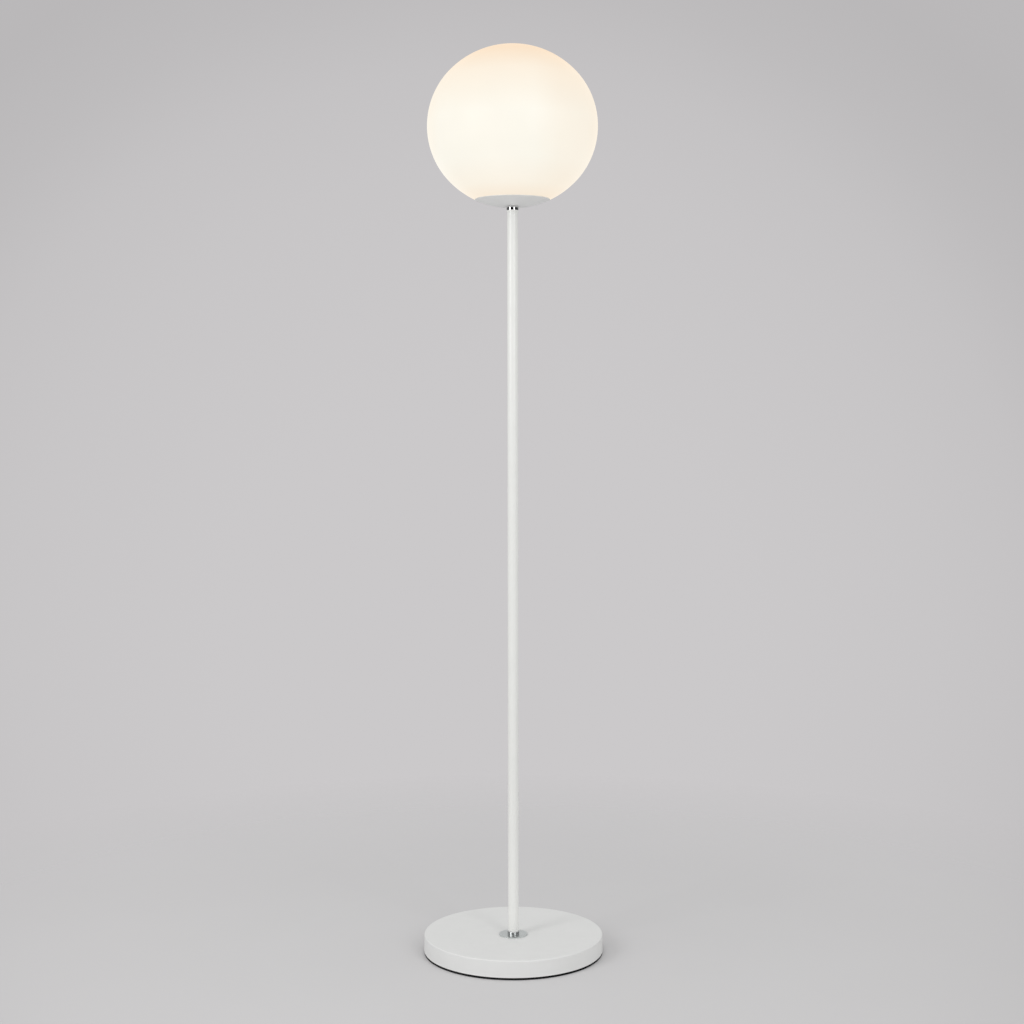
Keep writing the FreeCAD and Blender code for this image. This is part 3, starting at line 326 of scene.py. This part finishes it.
def glowing(material, colour, strength):
    """Add an even glow to a material's shader."""
    for node in material.node_tree.nodes:
        if node.type == "BSDF_PRINCIPLED":
            node.inputs["Emission Color"].default_value = (*colour, 1)
            node.inputs["Emission Strength"].default_value = strength
    return material


def make_materials():
    return {
        "foam": foam(),
        "cover_white": surface("cover_white", (0.79, 0.793, 0.783), 0.42, mottle=0.012, mottle_scale=35.0,
                               grain=0.10, grain_scale=700.0, specular=0.33),
        "pole_white": surface("pole_white", (0.842, 0.846, 0.822), 0.13, mottle=0.012, mottle_scale=35.0,
                              grain=0.04, grain_scale=700.0),
        "dish_white": surface("dish_white", (0.83, 0.83, 0.82), 0.4, mottle=0.012, mottle_scale=35.0,
                              grain=0.08, grain_scale=700.0),
        "chrome": chrome("chrome", (0.93, 0.932, 0.935), 0.03),
        "foot_washer": chrome("chrome_washer", (0.78, 0.812, 0.808), 0.31),
        "zinc": surface("zinc", (0.60, 0.61, 0.63), 0.34, metal=1.0, mottle=0.14, mottle_scale=220.0,
                        grain=0.15),
        "spring_steel": surface("spring_steel", (0.52, 0.52, 0.54), 0.28, metal=1.0, mottle=0.1,
                                mottle_scale=40.0, stretch=(1, 1, 12), grain=0.1),
        "concrete": concrete(),
        "brass": surface("brass", (0.78, 0.58, 0.27), 0.3, metal=1.0, mottle=0.1, mottle_scale=180.0,
                         grain=0.1),
        "bush_plastic": surface("bush_plastic", (0.62, 0.62, 0.61), 0.55, mottle=0.03, grain=0.25),
        "block_plastic": surface("block_plastic", (0.74, 0.74, 0.69), 0.5, mottle=0.03, grain=0.2),
        "core_insulation": surface("core_insulation", (0.16, 0.07, 0.03), 0.35, mottle=0.06),
        "lead_sheath": surface("lead_sheath", (0.72, 0.72, 0.7), 0.4, mottle=0.03, grain=0.1),
        "silicone": silicone(),
        "opal_glass": opal_glass(),
        "holder_plastic": surface("holder_plastic", (0.74, 0.735, 0.71), 0.24, mottle=0.02,
                                  mottle_scale=25.0, grain=0.05, grain_scale=300.0),
        "nickel": surface("nickel", (0.70, 0.67, 0.61), 0.22, metal=1.0, mottle=0.08,
                          mottle_scale=160.0, grain=0.08),
        "cap_insulator": surface("cap_insulator", (0.02, 0.02, 0.025), 0.12, mottle=0.1, coat=0.3),
        "bulb_plastic": surface("bulb_plastic", (0.80, 0.80, 0.79), 0.42, mottle=0.02, grain=0.15,
                                grain_scale=1200.0),
        "board": surface("board", (0.80, 0.80, 0.78), 0.45, mottle=0.03, grain=0.1),
        "led_phosphor": surface("led_phosphor", (0.85, 0.62, 0.12), 0.4, mottle=0.06),
        "diffuser": glowing(surface("diffuser", (0.30, 0.295, 0.28), 0.4, mottle=0.015, mottle_scale=20.0,
                                    grain=0.08, grain_scale=500.0), (0.95, 0.88, 0.76), 0.85),
    }


def dress(materials):
    """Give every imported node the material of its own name, or else that of its slot."""
    slots = {part["node"]: part["material_slot"] for part in frame["record"]["subparts"]}
    for name, piece in nodes.items():
        piece.data.materials.clear()
        piece.data.materials.append(materials.get(name, materials[slots[name]]))


# ---------------------------------------------------------------- thread of the bulb's cap

THREAD_PITCH = 0.003629
THREAD_DEPTH = 0.00105
THREAD_CLEARANCE = THREAD_DEPTH * 0.15  # radial, crest inside the plain sleeve
THREAD_START = 0.0018  # height over which the thread rises at the lower edge
THREAD_RUN_OUT = 0.0045  # height over which it fades below the upper edge
CAP_WALL = 0.0004
CAP_SIDES = 96
CAP_ROWS = 110


def groove(rise, angle, height):
    """How far the thread lies inside its crest: a helix that fades out at both edges."""
    fade = max(0.0, min(1.0, rise / THREAD_START, (height - rise) / THREAD_RUN_OUT))
    wave = 0.5 - 0.5 * math.cos(2 * math.pi * rise / THREAD_PITCH - angle)
    return THREAD_DEPTH * wave * fade


def cap_points(low, high):
    """Rows of points up the outer sheet of the cap, then up its inner sheet."""
    height = high.z - low.z
    points = []
    for layer in range(2):
        for row in range(CAP_ROWS + 1):
            rise = height * row / CAP_ROWS
            for column in range(CAP_SIDES):
                angle = 2 * math.pi * column / CAP_SIDES
                radius = high.x - groove(rise, angle, height) - THREAD_CLEARANCE - layer * CAP_WALL
                points.append((radius * math.cos(angle), radius * math.sin(angle), low.z + rise))
    return points


def cap_faces():
    """Faces of both sheets, and the two rims that join them."""
    sheet = (CAP_ROWS + 1) * CAP_SIDES  # from a point to its partner on the inner sheet
    top = CAP_ROWS * CAP_SIDES
    faces = []
    for row in range(CAP_ROWS):
        for column in range(CAP_SIDES):
            after = (column + 1) % CAP_SIDES
            corners = (row * CAP_SIDES + column, row * CAP_SIDES + after,
                       (row + 1) * CAP_SIDES + after, (row + 1) * CAP_SIDES + column)
            faces.append(corners)
            faces.append(tuple(sheet + corner for corner in reversed(corners)))
    for column in range(CAP_SIDES):
        after = (column + 1) % CAP_SIDES
        faces.append((after, column, sheet + column, sheet + after))
        faces.append((top + column, top + after, sheet + top + after, sheet + top + column))
    return faces


def bulb_cap_thread(material):
    """Rolled knuckle thread of the bulb's cap, inside the plain sleeve that it stands for."""
    low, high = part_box("bulb_screw_cap")
    points = cap_points(low, high)
    faces = cap_faces()
    mesh = bpy.data.meshes.new("bulb_cap_thread")
    mesh.from_pydata(points, [], faces)
    mesh.shade_smooth()
    mesh.materials.append(material)
    piece = bpy.data.objects.new("bulb_cap_thread", mesh)
    scene.collection.objects.link(piece)
    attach(piece, "bulb")
    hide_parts("bulb_screw_cap")


# ---------------------------------------------------------------- stage and light

FLOOR_REACH = 3.0  # from the middle to each side
FLOOR_LIT = (0.4, 1.4)  # the floor melts into the backdrop between these distances from the pole
FLOOR_DROP = 0.0003  # the floor lies this far below the pad, so that the two faces don't flicker
BACKDROP = (0.597, 0.583, 0.591)
BEHIND = (-0.019, 0.992, -0.123)  # towards the lightest part of the backdrop
BACKDROP_TONES = ((0.0, 1.0), (0.70, 0.95), (0.915, 0.82), (0.932, 0.86), (0.949, 0.93), (0.965, 0.965),
                  (0.99, 1.0))  # share of its colour by the cosine of the angle to BEHIND
MIRRORED_TONES = ((0.0, 0.005), (0.25, 0.035), (0.5, 0.035), (0.72, 0.08), (0.82, 0.24), (0.90, 0.45),
                  (0.96, 0.58))  # what chrome mirrors, from the front of the studio to its back
MIRRORED_OVERHEAD = 0.55
OVERHEAD_FADE = (0.38, 0.60)  # sines of the elevation where the walls turn into what is overhead
HORIZON_FADE = (-0.1, 0.1)  # and where the lower fill turns into the upper one
FILL_FRONT = 0.92  # strength of the fill from the front
FILL_BACK = 0.55  # from behind
FILL_BELOW = 0.68  # from below the horizon
LIGHT_AIM = (0, 0, 0.75)  # half-way up the lamp
SOFTBOXES = (  # name, azimuth from the front in degrees, distance, height, width, tall, watts
    ("softbox_left", -50, 2.2, 1.5, 0.7, 1.2, 11.4),
    ("softbox_right", 31, 2.2, 1.5, 0.6, 1.2, 6.8),
    ("overhead", 0, 0.6, 3.0, 2.0, 2.0, 0.8),
)


def add_floor():
    """Pale floor: lit near the lamp, melting into the backdrop farther out, and clear from below."""
    mesh = bpy.data.meshes.new("floor")
    corners = [(x * FLOOR_REACH, y * FLOOR_REACH, -FLOOR_DROP)
               for x, y in ((-1, -1), (1, -1), (1, 1), (-1, 1))]
    mesh.from_pydata(corners, [], [(0, 1, 2, 3)])
    floor = bpy.data.objects.new("floor", mesh)
    scene.collection.objects.link(floor)
    material, build = new_material("floor")
    lit = build.add("ShaderNodeBsdfDiffuse")
    tone = build.noise(3.0, 2.0, 0.5, object_place(build))
    build.link(build.two_tone(tone, (0.655, 0.648, 0.652), (0.665, 0.658, 0.662)), lit.inputs["Color"])
    clear = build.add("ShaderNodeBsdfTransparent")
    distance = build.add("ShaderNodeVectorMath", operation="LENGTH")
    build.link(object_place(build), distance.inputs[0])
    fade = build.spread(distance.outputs["Value"], 0.0, 1.0, *FLOOR_LIT)
    underside = build.add("ShaderNodeNewGeometry").outputs["Backfacing"]
    finish(build, build.mix_shaders(build.math("MAXIMUM", fade, underside), lit, clear))
    mesh.materials.append(material)


def backdrop_seen(build, direction):
    """The backdrop as it is seen: plain, and a little darker round its lit middle."""
    toward = build.add("ShaderNodeVectorMath", operation="DOT_PRODUCT")
    toward.inputs[1].default_value = BEHIND
    build.link(direction, toward.inputs[0])
    stops = [(stop, [channel * tone for channel in BACKDROP]) for stop, tone in BACKDROP_TONES]
    seen = build.add("ShaderNodeBackground")
    build.link(build.ramp(toward.outputs["Value"], stops), seen.inputs["Color"])
    return seen


def studio_mirrored(build, direction):
    """The studio in a mirror: dark in front and at the sides, pale behind and overhead."""
    split = build.add("ShaderNodeSeparateXYZ")
    build.link(direction, split.inputs[0])
    depth = build.spread(split.outputs["Y"], 0.0, 1.0, -1.0, 1.0)
    overhead = build.spread(split.outputs["Z"], 0.0, 1.0, *OVERHEAD_FADE)
    blend = build.add("ShaderNodeMix", data_type="RGBA")
    build.link(overhead, blend.inputs["Factor"])
    build.link(build.ramp(depth, greys(MIRRORED_TONES)), blend.inputs[MIX_FIRST])
    blend.inputs[MIX_SECOND].default_value = (*grey(MIRRORED_OVERHEAD), 1)
    mirrored = build.add("ShaderNodeBackground")
    build.link(blend.outputs[MIX_RESULT], mirrored.inputs["Color"])
    return mirrored


def add_world():
    """The backdrop for the camera, a studio for reflections and an even fill for the rest."""
    world = bpy.data.worlds.new("studio")
    scene.world = world
    world.use_nodes = True
    build = Nodes(world.node_tree)
    rays = build.add("ShaderNodeLightPath")
    direction = build.add("ShaderNodeTexCoord").outputs["Generated"]
    split = build.add("ShaderNodeSeparateXYZ")
    build.link(direction, split.inputs[0])
    level = build.add("ShaderNodeMix")
    build.link(build.spread(split.outputs["Z"], 0.0, 1.0, *HORIZON_FADE), level.inputs["Factor"])
    level.inputs["A"].default_value = FILL_BELOW
    build.link(build.spread(split.outputs["Y"], FILL_FRONT, FILL_BACK, -1.0, 1.0), level.inputs["B"])
    fill = build.add("ShaderNodeBackground")
    fill.inputs["Color"].default_value = (1, 1, 1, 1)
    build.link(level.outputs["Result"], fill.inputs["Strength"])
    indirect = build.mix_shaders(rays.outputs["Is Glossy Ray"], fill, studio_mirrored(build, direction))
    plain = build.math("MAXIMUM", rays.outputs["Is Camera Ray"], rays.outputs["Is Transmission Ray"])
    whole = build.mix_shaders(plain, indirect, backdrop_seen(build, direction))
    output = build.add("ShaderNodeOutputWorld")
    build.link(whole.outputs[0], output.inputs["Surface"])


def add_softbox(name, azimuth, distance, height, width, tall, watts):
    """A softbox at an azimuth from the front, aimed at the pole."""
    light = bpy.data.lights.new(name, "AREA")
    light.shape = "RECTANGLE"
    light.size = width
    light.size_y = tall
    light.energy = watts
    holder = bpy.data.objects.new(name, light)
    angle = math.radians(azimuth)
    place = Vector((distance * math.sin(angle), -distance * math.cos(angle), height))
    aim = Vector(LIGHT_AIM) - place
    holder.matrix_world = Matrix.Translation(place) @ aim.to_track_quat("-Z", "Y").to_matrix().to_4x4()
    scene.collection.objects.link(holder)


# ---------------------------------------------------------------- put together

add_camera()
materials = make_materials()
dress(materials)
bulb_cap_thread(materials["nickel"])
add_floor()
add_world()
for softbox in SOFTBOXES:
    add_softbox(*softbox)
